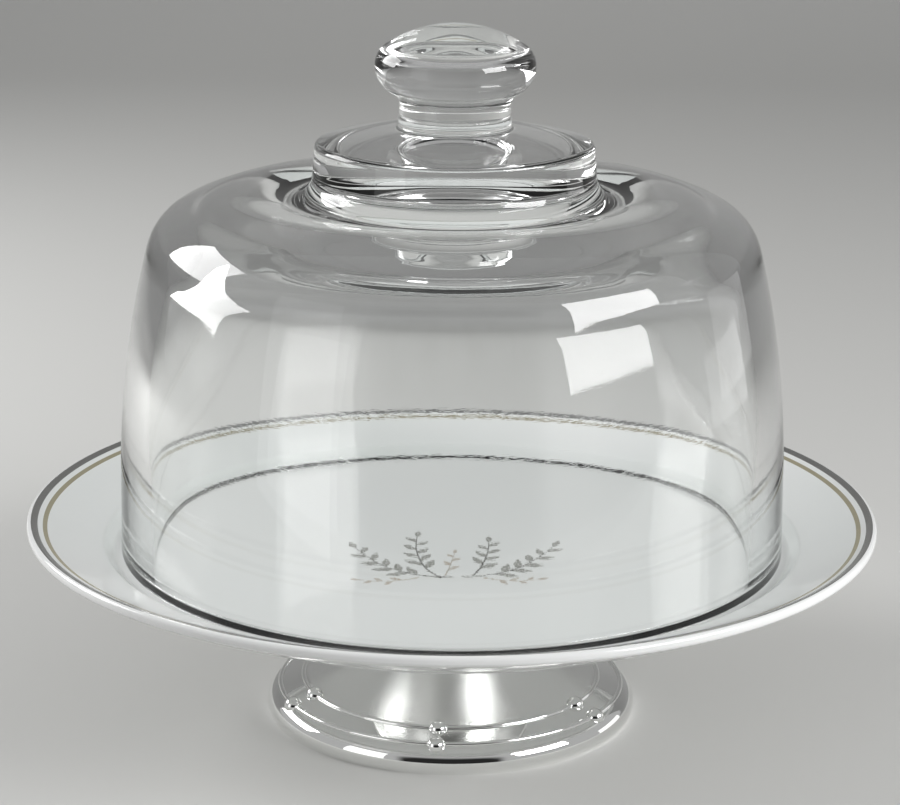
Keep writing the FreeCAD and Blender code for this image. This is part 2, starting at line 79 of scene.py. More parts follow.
def meeting(first: Point, first_radius: float, second: Point, second_radius: float,
            side: int) -> Point:
    """Find where two circles meet.

    Args:
        first: Centre of the first circle.
        first_radius: Its radius.
        second: Centre of the second circle.
        second_radius: Its radius.
        side: 1 for the point left of the way from first to second, -1 for the right.

    Returns:
        The point on both circles on that side.
    """
    gap = math.dist(first, second)
    along = (first_radius ** 2 - second_radius ** 2 + gap ** 2) / (2 * gap)
    off = math.sqrt(max(0.0, first_radius ** 2 - along ** 2)) * side
    across = (second[0] - first[0]) / gap
    up = (second[1] - first[1]) / gap
    return first[0] + along * across - off * up, first[1] + along * up + off * across


def beside(start: Point, end: Point, offset: float, centre: Point, reach: float,
           later: bool) -> Point:
    """Find a point beside a straight run and at a reach from a centre.

    Args:
        start: Start of the run.
        end: End of the run.
        offset: Distance to the left of the run.
        centre: The centre that the point is measured from.
        reach: Distance from that centre.
        later: Take the solution further along the run.

    Returns:
        The point.
    """
    length = math.dist(start, end)
    along = (end[0] - start[0]) / length, (end[1] - start[1]) / length
    base = start[0] - along[1] * offset - centre[0], start[1] + along[0] * offset - centre[1]
    middle = -(base[0] * along[0] + base[1] * along[1])
    spread = math.sqrt(middle ** 2 - base[0] ** 2 - base[1] ** 2 + reach ** 2)
    travel = middle + spread if later else middle - spread
    return centre[0] + base[0] + along[0] * travel, centre[1] + base[1] + along[1] * travel


class Section:
    """A section in millimetres, drawn as a wire and turned about the Z axis."""

    LONGEST = 3.0
    EASE = 0.35
    WIDEST = math.radians(7.5)

    def __init__(self, start: Point, lift: float = 0.0) -> None:
        """Start the wire.

        Args:
            start: Its first point.
            lift: Height of the section's own zero.
        """
        self.mesh = bmesh.new()
        self.lift = lift
        self.here = start
        self.tip = self.mesh.verts.new(self.place(start))

    def place(self, point: Point) -> Vector:
        """Return a point of the section in metres."""
        return Vector((point[0] * MM, 0.0, (point[1] + self.lift) * MM))

    def jump(self, start: Point) -> None:
        """Lift the pen and start again at a point."""
        self.here = start
        self.tip = self.mesh.verts.new(self.place(start))

    def step(self, end: Point) -> None:
        """Draw one edge.

        Args:
            end: Where it ends.
        """
        made = bmesh.ops.extrude_vert_indiv(self.mesh, verts=[self.tip])
        self.tip = made["verts"][0]
        move = self.place(end) - self.tip.co
        bmesh.ops.translate(self.mesh, verts=[self.tip], vec=move)
        self.here = end

    def line(self, end: Point) -> "Section":
        """Draw a straight run, with short edges at its ends to hold the shading.

        Args:
            end: Where it ends.

        Returns:
            The section itself.
        """
        start, length = self.here, math.dist(self.here, end)
        if length > 4 * self.EASE:
            inner = length - 2 * self.EASE
            count = max(1, math.ceil(inner / self.LONGEST))
            for index in range(count + 1):
                self.step(between(start, end, (self.EASE + inner * index / count) / length))
        self.step(end)
        return self

    def arc(self, centre: Point, end: Point, turn: Turn = Turn.LEFT) -> "Section":
        """Draw an arc from here to a point.

        Args:
            centre: Its centre.
            end: Where it ends.
            turn: Which way it bends.

        Returns:
            The section itself.
        """
        first = math.atan2(self.here[1] - centre[1], self.here[0] - centre[0])
        last = math.atan2(end[1] - centre[1], end[0] - centre[0])
        angle = (last - first) * turn.value % math.tau
        radius = math.dist(self.here, centre)
        count = max(2, math.ceil(angle / self.WIDEST), math.ceil(angle * radius / self.LONGEST))
        made = bmesh.ops.spin(self.mesh, geom=[self.tip], cent=self.place(centre),
                              axis=(0.0, -float(turn.value), 0.0), angle=angle, steps=count)
        self.tip = next(part for part in made["geom_last"] if isinstance(part, bmesh.types.BMVert))
        self.here = end
        return self

    def corner(self, corner: Point, after: Point, radius: float) -> "Section":
        """Draw up to a corner and round it, ready to go on to the next point.

        Args:
            corner: The sharp corner.
            after: The next point, which gives the new direction.
            radius: Radius of the rounding.

        Returns:
            The section itself.
        """
        here = self.here
        back, ahead = math.dist(here, corner), math.dist(corner, after)
        first = (here[0] - corner[0]) / back, (here[1] - corner[1]) / back
        second = (after[0] - corner[0]) / ahead, (after[1] - corner[1]) / ahead
        half = math.acos(first[0] * second[0] + first[1] * second[1]) / 2
        reach = radius / math.tan(half)
        bisector = first[0] + second[0], first[1] + second[1]
        depth = radius / math.sin(half) / math.hypot(*bisector)
        centre = corner[0] + bisector[0] * depth, corner[1] + bisector[1] * depth
        side = second[0] * first[1] - second[1] * first[0]
        self.line(between(corner, here, reach / back))
        return self.arc(centre, between(corner, after, reach / ahead),
                        Turn.LEFT if side > 0 else Turn.RIGHT)

    def revolve(self, closed: bool) -> bmesh.types.BMesh:
        """Turn the wire once round the axis.

        Args:
            closed: Join the wire's last point to its first before it is turned.

        Returns:
            The closed surface, with its faces outwards.
        """
        mesh = self.mesh
        mesh.verts.ensure_lookup_table()
        if closed:
            mesh.edges.new((self.tip, mesh.verts[0]))
        bmesh.ops.remove_doubles(mesh, verts=mesh.verts, dist=1e-6)
        bmesh.ops.spin(mesh, geom=mesh.verts[:] + mesh.edges[:], cent=(0.0, 0.0, 0.0),
                       axis=(0.0, 0.0, 1.0), angle=math.tau, steps=STEPS_ROUND,
                       use_merge=True)
        bmesh.ops.remove_doubles(mesh, verts=mesh.verts, dist=1e-6)
        bmesh.ops.recalc_face_normals(mesh, faces=mesh.faces)
        return mesh


def finished(mesh: bmesh.types.BMesh, name: str, material: bpy.types.Material,
             crease: float = 35.0) -> bpy.types.Object:
    """Make an object of a mesh, smooth but for its creases.

    Args:
        mesh: The mesh, which is freed.
        name: Name of the object.
        material: Its material.
        crease: Smallest angle in degrees that stays sharp.

    Returns:
        The object, linked into the scene.
    """
    for face in mesh.faces:
        face.smooth = True
    for edge in mesh.edges:
        edge.smooth = len(edge.link_faces) == 2 and edge.calc_face_angle() < math.radians(crease)
    data = bpy.data.meshes.new(name)
    mesh.to_mesh(data)
    mesh.free()
    data.materials.append(material)
    piece = bpy.data.objects.new(name, data)
    bpy.context.scene.collection.objects.link(piece)
    return piece


class Signal:
    """A value that runs between shader nodes, written as an expression."""

    def __init__(self, graph: "Graph", socket: Any) -> None:
        """Wrap an output socket of a tree."""
        self.graph = graph
        self.socket = socket

    def math(self, operation: str, *others: Any) -> "Signal":
        """Return a Math node's result on this value and others."""
        values = dict(enumerate((self, *others)))
        return self.graph.node("ShaderNodeMath", {"operation": operation}, values).out()

    def out(self, name: str | int = 0) -> "Signal":
        """Return another output of the node that gives this value."""
        return Signal(self.graph, self.socket.node.outputs[name])

    def __add__(self, other: Any) -> "Signal":
        """Add."""
        return self.math("ADD", other)

    def __radd__(self, other: Any) -> "Signal":
        """Add to a number."""
        return self.math("ADD", other)

    def __sub__(self, other: Any) -> "Signal":
        """Subtract."""
        return self.math("SUBTRACT", other)

    def __rsub__(self, other: float) -> "Signal":
        """Subtract from a number."""
        flipped = {0: other, 1: self}
        return self.graph.node("ShaderNodeMath", {"operation": "SUBTRACT"}, flipped).out()

    def __mul__(self, other: Any) -> "Signal":
        """Multiply."""
        return self.math("MULTIPLY", other)

    def __rmul__(self, other: Any) -> "Signal":
        """Multiply a number."""
        return self.math("MULTIPLY", other)

    def above(self, edge: float, soft: float) -> "Signal":
        """Step softly from 0 to 1.

        Args:
            edge: Middle of the step.
            soft: Half its width.

        Returns:
            0 below the edge and 1 above it.
        """
        sockets = {"Value": self, "From Min": edge - soft, "From Max": edge + soft}
        settings = {"interpolation_type": "SMOOTHSTEP"}
        return self.graph.node("ShaderNodeMapRange", settings, sockets).out()

    def within(self, low: float, high: float, soft: float) -> "Signal":
        """Return 1 between two edges and 0 outside them."""
        return self.above(low, soft) * (1 - self.above(high, soft))


class Graph:
    """A tree of shader nodes, built node by node."""

    def __init__(self, tree: bpy.types.NodeTree) -> None:
        """Work on a tree."""
        self.tree = tree

    def node(self, kind: str, settings: dict[str, Any], sockets: dict[Any, Any]) -> Signal:
        """Add a node.

        Args:
            kind: The node's type.
            settings: Its own settings, which are set first.
            sockets: Values or signals for its inputs, by name or number.

        Returns:
            The node's first output.
        """
        made = self.tree.nodes.new(kind)
        for key, setting in settings.items():
            setattr(made, key, setting)
        for key, feed in sockets.items():
            if isinstance(feed, Signal):
                self.tree.links.new(feed.socket, made.inputs[key])
            else:
                made.inputs[key].default_value = feed
        return Signal(self, made.outputs[0])

    def vector(self, *parts: Any) -> Signal:
        """Join three values into a vector."""
        return self.node("ShaderNodeCombineXYZ", {}, dict(enumerate(parts)))

    def blend(self, share: Signal, first: Any, second: Any) -> Signal:
        """Mix two colours by a share."""
        sockets = {0: share, 6: first, 7: second}
        return self.node("ShaderNodeMix", {"data_type": "RGBA"}, sockets).out(2)

    def noise(self, where: Signal, detail: float = 2.0) -> Signal:
        """Return soft noise from 0 to 1."""
        sockets = {"Vector": where, "Scale": 1.0, "Detail": detail}
        return self.node("ShaderNodeTexNoise", {}, sockets)

    def bump(self, height: Signal, depth: float) -> Signal:
        """Return a normal tilted by a height, which is depth millimetres from 0 to 1."""
        sockets = {"Height": height, "Strength": 1.0, "Distance": depth * MM}
        return self.node("ShaderNodeBump", {}, sockets)


class Recipe(Graph):
    """One procedural material round a Principled shader."""

    def __init__(self, name: str) -> None:
        """Start a material.

        Args:
            name: Its name.
        """
        self.material = bpy.data.materials.new(name)
        self.material.use_nodes = True
        super().__init__(self.material.node_tree)
        self.tree.nodes.clear()
        self.output = self.tree.nodes.new("ShaderNodeOutputMaterial")
        self.shader = self.node("ShaderNodeBsdfPrincipled", {}, {})
        self.surface(self.shader.socket)

    def surface(self, socket: Any) -> None:
        """Send a shader to the material's surface."""
        self.tree.links.new(socket, self.output.inputs["Surface"])

    def set(self, **sockets: Any) -> "Recipe":
        """Set or feed the Principled shader's sockets.

        Args:
            sockets: Values or signals, by the socket's words joined by _.

        Returns:
            The recipe itself.
        """
        for key, feed in sockets.items():
            target = self.shader.socket.node.inputs[key.replace("_", " ")]
            if isinstance(feed, Signal):
                self.tree.links.new(feed.socket, target)
            else:
                target.default_value = feed
        return self

    def place(self) -> tuple[Signal, Signal, Signal]:
        """Read the piece's own coordinates.

        Returns:
            X, Y and Z in millimetres.
        """
        where = self.node("ShaderNodeTexCoord", {}, {}).out("Object")
        apart = self.node("ShaderNodeSeparateXYZ", {}, {0: where})
        return tuple(apart.out(axis) * (1 / MM) for axis in "XYZ")


def solid(colour: Colour) -> tuple[float, float, float, float]:
    """Return a colour with full alpha."""
    return (*colour, 1.0)


@dataclass(frozen=True)
class ClearGlass:
    """Thick clear glass with the fine level ripple of a turned mould in its wall."""

    tint: Colour = (0.985, 0.992, 0.988)
    shade: Colour = (0.93, 0.94, 0.935)
    ripple_depth: float = 0.0042
    ripple_length: float = 2.8
    ripple_height: float = 0.5
    wave_depth: float = 0.02
    wave_length: float = 22.0
    girth: float = 100.0

    def material(self, name: str, wall_top: float) -> bpy.types.Material:
        """Build the glass.

        Args:
            name: Name of the material.
            wall_top: Height in millimetres over which the wall no longer ripples.

        Returns:
            The material.
        """
        recipe = Recipe(name)
        across, along, height = recipe.place()
        turn = along.math("ARCTAN2", across) * self.girth
        fine = recipe.vector(turn * (1 / self.ripple_length), 0.0,
                             height * (1 / self.ripple_height))
        ripple = recipe.noise(fine) * (1 - height.above(wall_top, 12.0))
        wide = recipe.vector(across * (1 / self.wave_length), along * (1 / self.wave_length),
                             height * (1 / self.wave_length))
        skin = ripple * self.ripple_depth + recipe.noise(wide) * self.wave_depth
        recipe.set(Base_Color=solid(self.tint), Roughness=0.0, IOR=1.5, Transmission_Weight=1.0,
                   Normal=recipe.bump(skin, 1.0))
        path = recipe.node("ShaderNodeLightPath", {}, {})
        passing = path.out("Is Shadow Ray").math("MAXIMUM", path.out("Is Diffuse Ray"))
        clear = recipe.node("ShaderNodeBsdfTransparent", {}, {0: solid(self.shade)})
        mixed = recipe.node("ShaderNodeMixShader", {}, {0: passing, 1: recipe.shader, 2: clear})
        recipe.surface(mixed.socket)
        return recipe.material


@dataclass(frozen=True)
class Glaze:
    """White glazed porcelain with a silver band and a gold line on the rim."""

    white: Colour = (0.80, 0.81, 0.81)
    cloud: Colour = (0.83, 0.835, 0.83)
    silver: Colour = (0.50, 0.50, 0.49)
    gold: Colour = (0.52, 0.47, 0.33)
    band: Point = (131.2, 133.3)
    line: Point = (128.2, 129.6)
    rim_height: float = 65.0

    def material(self, name: str) -> bpy.types.Material:
        """Build the glaze with its printed rings.

        Args:
            name: Name of the material.

        Returns:
            The material.
        """
        recipe = Recipe(name)
        across, along, height = recipe.place()
        radius = (across * across + along * along).math("SQRT")
        top = height.above(self.rim_height, 0.05)
        band = radius.within(*self.band, 0.06) * top
        line = radius.within(*self.line, 0.06) * top
        cloud = recipe.noise(recipe.vector(across * 0.02, along * 0.02, height * 0.02))
        white = recipe.blend(cloud, solid(self.white), solid(self.cloud))
        colour = recipe.blend(line, white, solid(self.gold))
        colour = recipe.blend(band, colour, solid(self.silver))
        wave = recipe.noise(recipe.vector(across * 0.05, along * 0.05, height * 0.05))
        recipe.set(Base_Color=colour, Roughness=0.07 + 0.2 * (band + line), IOR=1.5,
                   Metallic=band + line * 0.5, Normal=recipe.bump(wave, 0.05))
        return recipe.material


@dataclass(frozen=True)
class SilverPlate:
    """Polished silver plate over spun metal, dulled by wiping above the reeds."""

    colour: Colour = (0.93, 0.935, 0.925)
    dulled: float = 0.22
    polished: float = 46.4

    def material(self, name: str) -> bpy.types.Material:
        """Build the metal.

        Args:
            name: Name of the material.

        Returns:
            The material.
        """
        recipe = Recipe(name)
        across, along, height = recipe.place()
        haze = recipe.noise(recipe.vector(across * 0.08, along * 0.08, height * 0.3), 4.0)
        reach = (across * across + along * along).math("SQRT")
        dull = self.dulled * (1 - reach.above(self.polished, 0.6))
        recipe.set(Base_Color=solid(self.colour), Metallic=1.0,
                   Roughness=0.02 + 0.04 * haze + dull)
        return recipe.material


@dataclass(frozen=True)
class Print:
    """Soft ceramic print under the glaze."""

    ink: Colour
    pale: Colour = (0.70, 0.70, 0.68)

    def material(self, name: str) -> bpy.types.Material:
        """Build the print, which thins out in small specks.

        Args:
            name: Name of the material.

        Returns:
            The material.
        """
        recipe = Recipe(name)
        across, along, height = recipe.place()
        speck = recipe.noise(recipe.vector(across * 1.6, along * 1.6, height * 0.0), 3.0)
        colour = recipe.blend(speck.above(0.56, 0.16), solid(self.ink), solid(self.pale))
        recipe.set(Base_Color=colour, Roughness=0.10 + 0.06 * speck, IOR=1.5)
        return recipe.material


@dataclass(frozen=True)
class Bell:
    """One surface of the dome: a wall, a swelling sweep, a shoulder and a crown."""

    base: float
    lean: float
    straight: float
    swell: float
    shoulder: float
    crown: float
    flat: float
    top: float

    @property
    def wall(self) -> Point:
        """Return the end of the straight wall."""
        return self.base - self.straight * math.tan(math.radians(self.lean)), self.straight

    @property
    def crest(self) -> Point:
        """Return the point where the crown becomes level."""
        return self.flat, self.top

    @property
    def swell_centre(self) -> Point:
        """Return the centre of the sweep above the wall."""
        slant = math.radians(self.lean)
        return (self.wall[0] - self.swell * math.cos(slant),
                self.wall[1] - self.swell * math.sin(slant))

    @property
    def crown_centre(self) -> Point:
        """Return the centre of the crown's sweep."""
        return self.flat, self.top - self.crown

    @property
    def shoulder_centre(self) -> Point:
        """Return the centre of the shoulder."""
        return meeting(self.swell_centre, self.swell - self.shoulder,
                       self.crown_centre, self.crown - self.shoulder, 1)

    @property
    def low(self) -> Point:
        """Return the point where the shoulder starts."""
        return beyond(self.swell_centre, self.shoulder_centre, self.shoulder)

    @property
    def high(self) -> Point:
        """Return the point where the shoulder ends."""
        return beyond(self.crown_centre, self.shoulder_centre, self.shoulder)

    def descend(self, section: Section) -> None:
        """Draw the bell from its level crown down to the end of its wall.

        Args:
            section: The outline so far.
        """
        section.line(self.crest).arc(self.crown_centre, self.high, Turn.RIGHT)
        section.arc(self.shoulder_centre, self.low, Turn.RIGHT)
        section.arc(self.swell_centre, self.wall, Turn.RIGHT)


@dataclass
class GlassDome:
    """The dome in one piece: bell, boss, ringed stem and solid knob."""

    base_height: float = 55.78
    outside: Bell = Bell(base=105.3, lean=1.0, straight=27.7, swell=298.0, shoulder=19.3,
                         crown=86.7, flat=50.8, top=116.9)
    inside: Bell = Bell(base=95.96, lean=-0.39, straight=28.9, swell=189.42, shoulder=20.0,
                        crown=153.7, flat=41.63, top=104.62)
    ripple_top: float = 95.0
    base_round: float = 1.5
    boss_radius: float = 43.3
    boss_flare: float = 1.4
    boss_height: float = 12.6
    boss_rise: float = 5.5
    boss_root_round: float = 8.0
    boss_edge_round: float = 2.2
    brow: float = 75.0
    trough: float = 32.8
    trough_slope: float = 19.3
    recess_wall: float = 7.3
    recess_flare: float = 3.0
    recess_depth: float = 12.0
    recess_rise: float = 4.0
    recess_round: float = 6.0
    recess_mouth_round: float = 3.0
    stem_radius: float = 17.5
    stem_ring: float = 8.4
    stem_foot_round: float = 1.4
    neck_radius: float = 17.2
    neck_round: float = 3.5
    groove: float = 0.7
    knob_radius: float = 24.8
    knob_height: float = 36.4
    knob_under: float = 9.4
    knob_side: float = 7.5
    knob_rise: float = 12.7
    finish: ClearGlass = field(default_factory=ClearGlass)

    @property
    def foot(self) -> Point:
        """Return the middle of the base, where the outline starts and ends."""
        return (self.outside.base + self.inside.base) / 2, 0.0

    def dip(self, section: Section) -> Point:
        """Draw the bell over its brow and down the shallow trough round the boss.

        Args:
            section: The outline so far.

        Returns:
            The corner between the trough and the boss.
        """
        outside = self.outside
        climb = math.sqrt(outside.crown ** 2 - (self.brow - outside.flat) ** 2)
        brow = self.brow, outside.crown_centre[1] + climb
        centre = between(brow, outside.crown_centre, self.trough / outside.crown)
        slope = math.radians(self.trough_slope)
        foot = (centre[0] - self.trough * math.sin(slope),
                centre[1] + self.trough * math.cos(slope))
        section.line(outside.wall).arc(outside.swell_centre, outside.low)
        section.arc(outside.shoulder_centre, outside.high).arc(outside.crown_centre, brow)
        section.arc(centre, foot)
        root = self.boss_radius + self.boss_flare
        return root, foot[1] - (foot[0] - root) * math.tan(slope)

    def boss(self, root: Point, section: Section) -> None:
        """Draw the raised boss up to the foot of the stem.

        Args:
            root: The corner between the bell and the boss.
            section: The outline so far.
        """
        edge = self.boss_radius, self.outside.top + self.boss_height
        sweep = (edge[0] ** 2 + self.boss_rise ** 2) / (2 * self.boss_rise)
        centre = 0.0, edge[1] + self.boss_rise - sweep
        section.corner(root, edge, self.boss_root_round)
        small = self.boss_edge_round
        nest = beside(root, edge, small, centre, sweep - small, later=True)
        length = math.dist(root, edge)
        right = (edge[1] - root[1]) / length, (root[0] - edge[0]) / length
        section.line((nest[0] + right[0] * small, nest[1] + right[1] * small))
        section.arc(nest, beyond(centre, nest, small))
        fillet = self.stem_foot_round
        across = self.stem_radius + fillet
        nest = across, centre[1] + math.sqrt((sweep + fillet) ** 2 - across ** 2)
        section.arc(centre, between(nest, centre, fillet / (sweep + fillet)))
        section.arc(nest, (self.stem_radius, nest[1]), Turn.RIGHT)

    def knob(self, section: Section) -> None:
        """Draw the ringed stem and the knob, up to the axis.

        Args:
            section: The outline so far.
        """
        ring = self.outside.top + self.boss_height + self.stem_ring
        middle = self.outside.top + self.knob_height
        inset = self.stem_radius - self.neck_radius
        rise = math.sqrt(self.groove ** 2 - inset ** 2)
        section.line((self.stem_radius, ring - self.groove))
        section.arc((self.stem_radius, ring), (self.neck_radius, ring + rise), Turn.RIGHT)
        under = self.knob_radius - self.knob_under, middle
        side = self.knob_radius - self.knob_side, middle
        across = self.neck_radius + self.neck_round
        drop = math.sqrt((self.knob_under + self.neck_round) ** 2 - (across - under[0]) ** 2)
        sweep = across, middle - drop
        section.line((self.neck_radius, sweep[1]))
        section.arc(sweep, beyond(under, sweep, -self.neck_round), Turn.RIGHT)
        section.arc(under, (self.knob_radius, middle))
        top = ((side[0] ** 2 + self.knob_rise ** 2 - self.knob_side ** 2)
               / (2 * (self.knob_rise - self.knob_side)))
        centre = 0.0, middle + self.knob_rise - top
        section.arc(side, beyond(centre, side, self.knob_side))
        section.arc(centre, (0.0, middle + self.knob_rise))

    def build(self) -> bpy.types.Object:
        """Build the dome and stand it in the well of the plate.

        Returns:
            The piece.
        """
        section = Section(self.foot, self.base_height)
        section.corner((self.outside.base, 0.0), self.outside.wall, self.base_round)
        self.boss(self.dip(section), section)
        self.knob(section)
        self.climb_down(section)
        glass = self.finish.material("clear_glass", self.base_height + self.ripple_top)
        piece = finished(section.revolve(closed=True), "dome_glass", glass)
        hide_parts("glass_dome")
        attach(piece, "root")
        return piece

    def climb_down(self, section: Section) -> None:
        """Start again at the axis under the crown and draw the inner surface.

        Args:
            section: The outline so far.
        """
        inside = self.inside
        edge = self.boss_radius - self.recess_wall, inside.top + self.recess_depth
        mouth = edge[0] + self.recess_flare, inside.top
        sweep = (edge[0] ** 2 + self.recess_rise ** 2) / (2 * self.recess_rise)
        centre = 0.0, edge[1] + self.recess_rise - sweep
        small = self.recess_round
        nest = beside(edge, mouth, -small, centre, sweep - small, later=False)
        length = math.dist(edge, mouth)
        left = (edge[1] - mouth[1]) / length, (mouth[0] - edge[0]) / length
        section.jump((0.0, edge[1] + self.recess_rise))
        section.arc(centre, beyond(centre, nest, small), Turn.RIGHT)
        section.arc(nest, (nest[0] + left[0] * small, nest[1] + left[1] * small), Turn.RIGHT)
        section.corner(mouth, inside.crest, self.recess_mouth_round)
        inside.descend(section)
        section.corner((inside.base, 0.0), self.foot, self.base_round)


@dataclass
class Plate:
    """The porcelain plate: flat well, sloping rim, rounded edge and foot ring."""

    height: float = 50.98
    floor: float = 4.8
    well: float = 107.3
    well_round: float = 2.6
    shoulder: Point = (110.8, 8.3)
    shoulder_round: float = 3.0
    edge: Point = (134.6, 17.5)
    lip: float = 3.5
    lip_round: float = 1.4
    sweep: float = 210.0
    ring_radius: float = 95.5
    ring_width: float = 4.0
    ring_depth: float = 3.6
    ring_root: Point = (96.3, -1.6)
    ring_round: float = 0.9
    finish: Glaze = field(default_factory=Glaze)

    def build(self) -> bpy.types.Object:
        """Build the plate on the foot's top disc.

        Returns:
            The piece.
        """
        inner, depth, small = self.ring_radius - self.ring_width, -self.ring_depth, self.ring_round
        lip = self.edge[0], self.edge[1] - self.lip
        section = Section((0.0, 0.0), self.height)
        section.corner((inner, 0.0), (inner, depth), small)
        section.corner((inner, depth), (self.ring_radius, depth), small)
        section.corner((self.ring_radius, depth), self.ring_root, small)
        back = meeting(self.ring_root, self.sweep, lip, self.sweep, 1)
        rise = self.ring_root[0] - back[0], self.ring_root[1] - back[1]
        ahead = self.ring_root[0] - rise[1] * 0.1, self.ring_root[1] + rise[0] * 0.1
        section.corner(self.ring_root, ahead, small)
        edge_x, turn = self.edge[0] - self.lip_round, self.lip_round
        low = edge_x, back[1] - math.sqrt((self.sweep - turn) ** 2 - (edge_x - back[0]) ** 2)
        section.arc(back, beyond(back, low, turn)).arc(low, (self.edge[0], low[1]))
        front = meeting(self.shoulder, self.sweep, self.edge, self.sweep, 1)
        high = edge_x, front[1] - math.sqrt((self.sweep + turn) ** 2 - (edge_x - front[0]) ** 2)
        section.line((self.edge[0], high[1]))
        section.arc(high, between(high, front, turn / (self.sweep + turn)))
        wall = self.well, self.floor
        turn = self.shoulder_round
        nest = beside(self.shoulder, wall, turn, front, self.sweep + turn, later=True)
        section.arc(front, between(nest, front, turn / (self.sweep + turn)), Turn.RIGHT)
        length = math.dist(self.shoulder, wall)
        left = (self.shoulder[1] - wall[1]) / length, (wall[0] - self.shoulder[0]) / length
        section.arc(nest, (nest[0] - left[0] * turn, nest[1] - left[1] * turn))
        section.corner(wall, (0.0, self.floor), self.well_round)
        section.line((0.0, self.floor))
        piece = finished(section.revolve(closed=False), "plate_porcelain",
                         self.finish.material("porcelain"))
        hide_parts("plate")
        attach(piece, "root")
        return piece


@dataclass
class Pedestal:
    """The spun metal foot: rolled base, two reeds with beads, trumpet and top disc."""

    height: float = 50.98
    base: float = 58.907
    roll_centre: Point = (53.6, 2.8)
    roll: float = 6.0
    band: tuple[Point, Point] = ((55.354, 8.538), (47.7, 10.878))
    reed_outer: Point = (55.2, 8.585)
    reed_inner: Point = (47.7, 10.878)
    reed: float = 0.8
    reed_gap: float = 0.16
    flare_centre: Point = (65.197, 68.108)
    flare: float = 59.845
    throat_centre: Point = (34.7, 33.878)
    throat: float = 14.0
    cup_centre: Point = (32.7, 36.978)
    cup: float = 12.0
    disc: float = 36.0
    disc_thickness: float = 2.0
    disc_round: float = 0.7
    wall: float = 1.8
    inside: Point = (54.4, 6.947)
    step: Point = (47.174, 9.157)
    bead: float = 2.95
    bead_sink: float = 0.5
    bead_root: float = 1.3
    bead_turn: float = 4.4
    bead_pairs: int = 6
    finish: SilverPlate = field(default_factory=SilverPlate)

    def reeds(self, section: Section) -> None:
        """Draw the roll and the band with its two raised reeds.

        Args:
            section: The outline so far.
        """
        start, end = self.band
        section.arc(self.roll_centre, meeting(self.roll_centre, self.roll, self.reed_outer,
                                              self.reed, -1))
        length = math.dist(start, end)
        section.arc(self.reed_outer, between(start, end, (self.reed + self.reed_gap) / length))
        section.line(between(end, start, self.reed / length))
        section.arc(self.reed_inner, meeting(self.flare_centre, self.flare, self.reed_inner,
                                             self.reed, -1))

    def outside(self) -> Section:
        """Draw the outer surface from the base up to the disc's middle.

        Returns:
            The outline so far.
        """
        section = Section((self.base, 0.0))
        self.reeds(section)
        neck = self.throat_centre[0] - self.throat
        section.arc(self.flare_centre, beyond(self.flare_centre, self.throat_centre, self.throat),
                    Turn.RIGHT)
        section.arc(self.throat_centre, (neck, self.throat_centre[1]), Turn.RIGHT)
        section.line((neck, self.cup_centre[1]))
        top = self.height - self.disc_thickness
        section.arc(self.cup_centre, (self.cup_centre[0], top), Turn.RIGHT)
        section.corner((self.disc, top), (self.disc, self.height), self.disc_round)
        section.corner((self.disc, self.height), (0.0, self.height), self.disc_round)
        return section.line((0.0, self.height))

    def hollow(self, section: Section) -> Section:
        """Draw the inner surface from the axis down to the base.

        Args:
            section: The outline so far.

        Returns:
            The outline, complete.
        """
        ceiling = 0.0, self.height - self.wall
        section.jump(ceiling)
        reach = self.cup + self.wall
        rim = ceiling[1] - self.cup_centre[1]
        section.line((self.cup_centre[0] - math.sqrt(reach ** 2 - rim ** 2), ceiling[1]))
        neck = self.throat_centre[0] - self.throat - self.wall
        section.arc(self.cup_centre, (neck, self.cup_centre[1]))
        section.line((neck, self.throat_centre[1]))
        reach = self.throat + self.wall
        section.arc(self.throat_centre, beyond(self.flare_centre, self.throat_centre, reach))
        section.arc(self.flare_centre, self.step)
        return section.line(self.inside).line((self.inside[0], 0.0))

    def beads(self, mesh: bmesh.types.BMesh) -> None:
        """Add the pairs of half-sunk beads that tie the reeds together.

        Args:
            mesh: The foot's mesh.
        """
        low, high = self.band
        slope = (high[1] - low[1]) / (high[0] - low[0])
        for pair in range(self.bead_pairs):
            turn = math.radians(self.bead_turn + 360.0 / self.bead_pairs * pair)
            for radius in (self.reed_outer[0], self.reed_inner[0]):
                height = high[1] + (radius - high[0]) * slope
                lift = height - self.bead_sink
                spot = Matrix.Translation((-radius * math.sin(turn) * MM,
                                           -radius * math.cos(turn) * MM, lift * MM))
                made = bmesh.ops.create_uvsphere(mesh, u_segments=24, v_segments=16,
                                                 radius=self.bead * MM, matrix=spot)
                shell = {face for vert in made["verts"] for face in vert.link_faces}
                geometry = made["verts"] + list(shell)
                geometry += list({edge for face in shell for edge in face.edges})
                cut = bmesh.ops.bisect_plane(mesh, geom=geometry, clear_inner=True,
                                             plane_co=(0.0, 0.0, (height - self.bead_root) * MM),
                                             plane_no=(0.0, 0.0, 1.0), dist=1e-7)
                rim = [part for part in cut["geom_cut"] if isinstance(part, bmesh.types.BMEdge)]
                bmesh.ops.edgeloop_fill(mesh, edges=rim)

    def build(self) -> bpy.types.Object:
        """Build the foot on the table.

        Returns:
            The piece.
        """
        mesh = self.hollow(self.outside()).revolve(closed=True)
        self.beads(mesh)
        bmesh.ops.recalc_face_normals(mesh, faces=mesh.faces)
        piece = finished(mesh, "foot_silver", self.finish.material("silver_plate"))
        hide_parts("pedestal")
        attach(piece, "root")
        return piece


